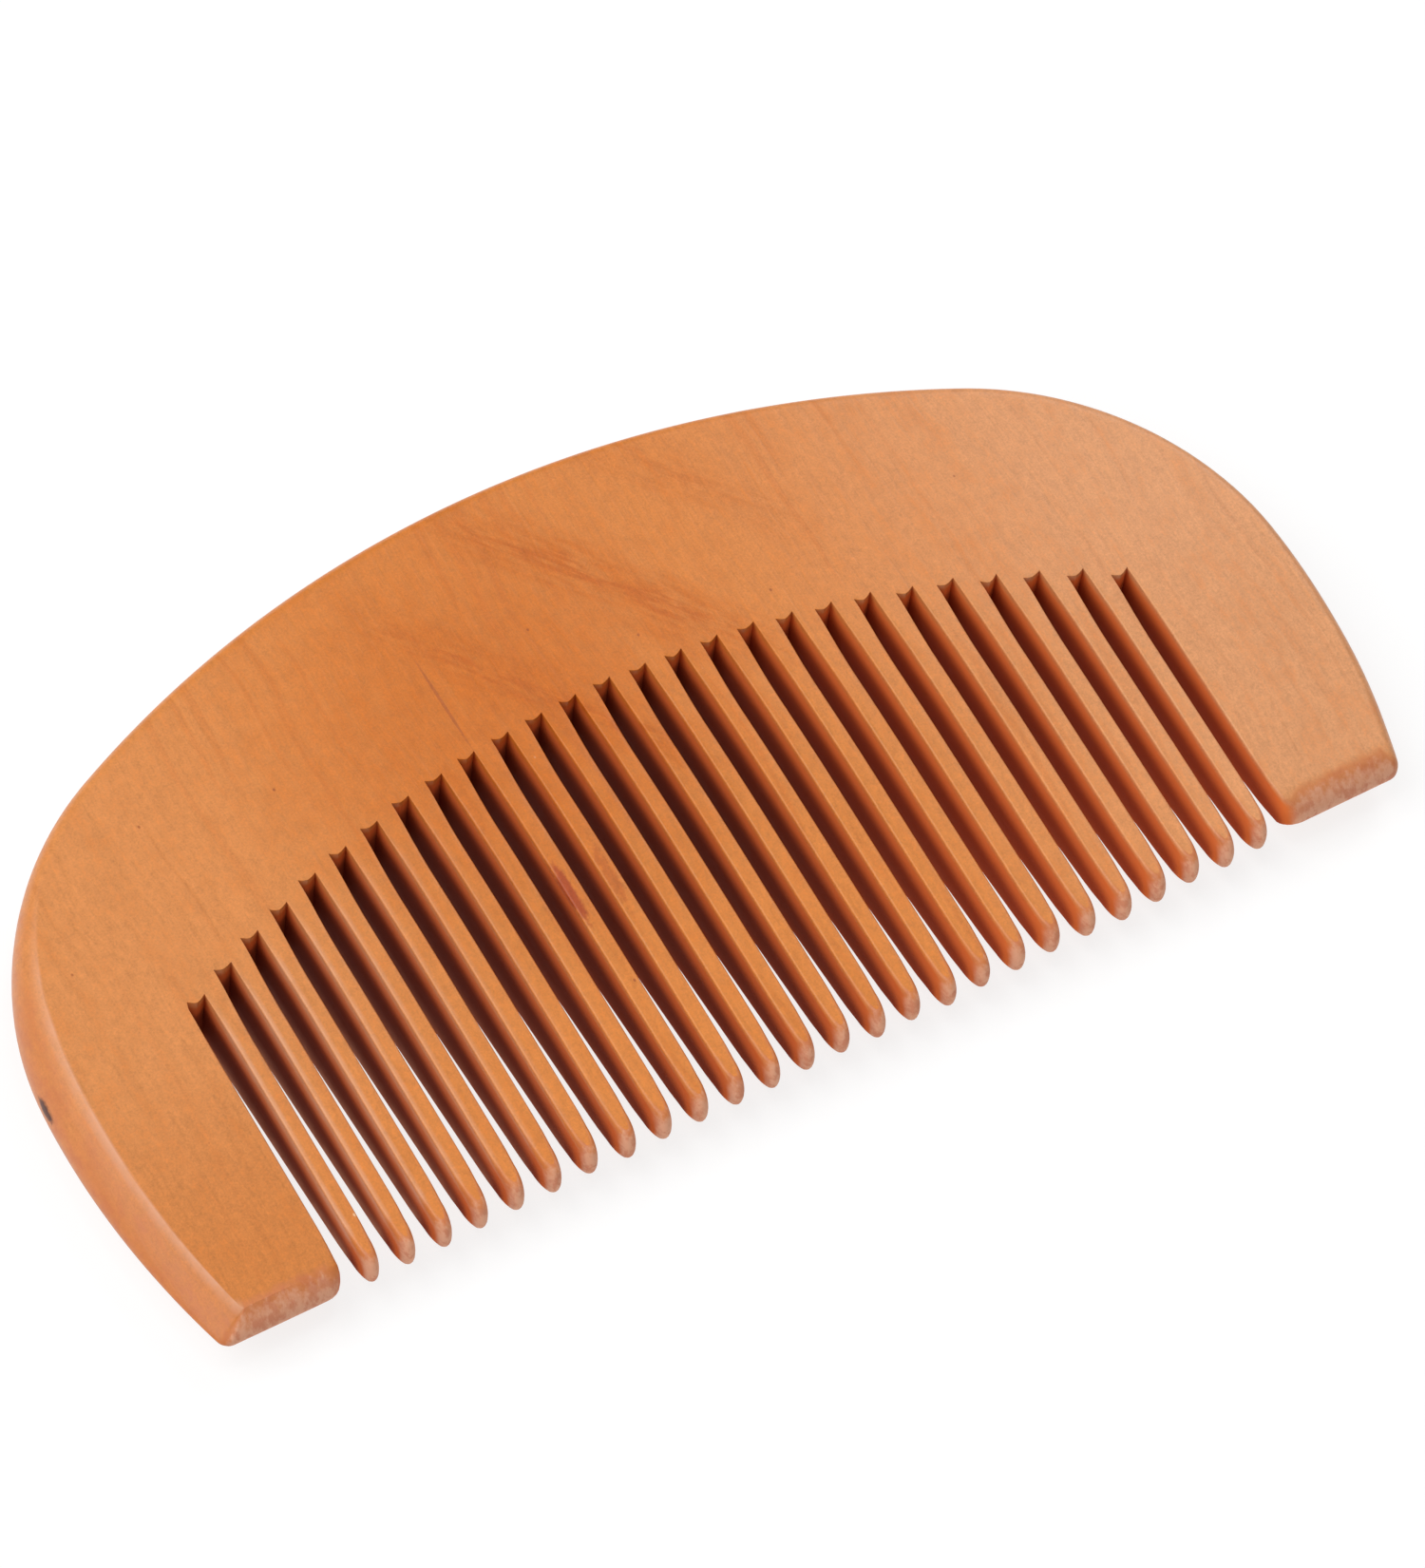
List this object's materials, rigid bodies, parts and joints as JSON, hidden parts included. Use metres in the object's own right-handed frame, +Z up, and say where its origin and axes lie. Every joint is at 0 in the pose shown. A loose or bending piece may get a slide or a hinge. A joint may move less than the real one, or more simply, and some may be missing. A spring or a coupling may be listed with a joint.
{
  "type": "beard comb",
  "caption": "Half-moon wooden beard comb with a thick arched back, straight sawn teeth that thin to rounded tips, wide end guards and a softly rounded rim.",
  "frame": {"origin": "on the surface that the comb lies on, under the middle of its bounding box", "axes": "+X along the length, +Y from the tooth tips to the arched back, +Z up out of the upper face as the comb lies flat"},
  "size_m": [0.1288, 0.065, 0.008],
  "materials": {
    "wood": "stained and waxed, satin"
  },
  "bodies": {
    "root": {"comb": "wood"}
  },
  "joints": []
}
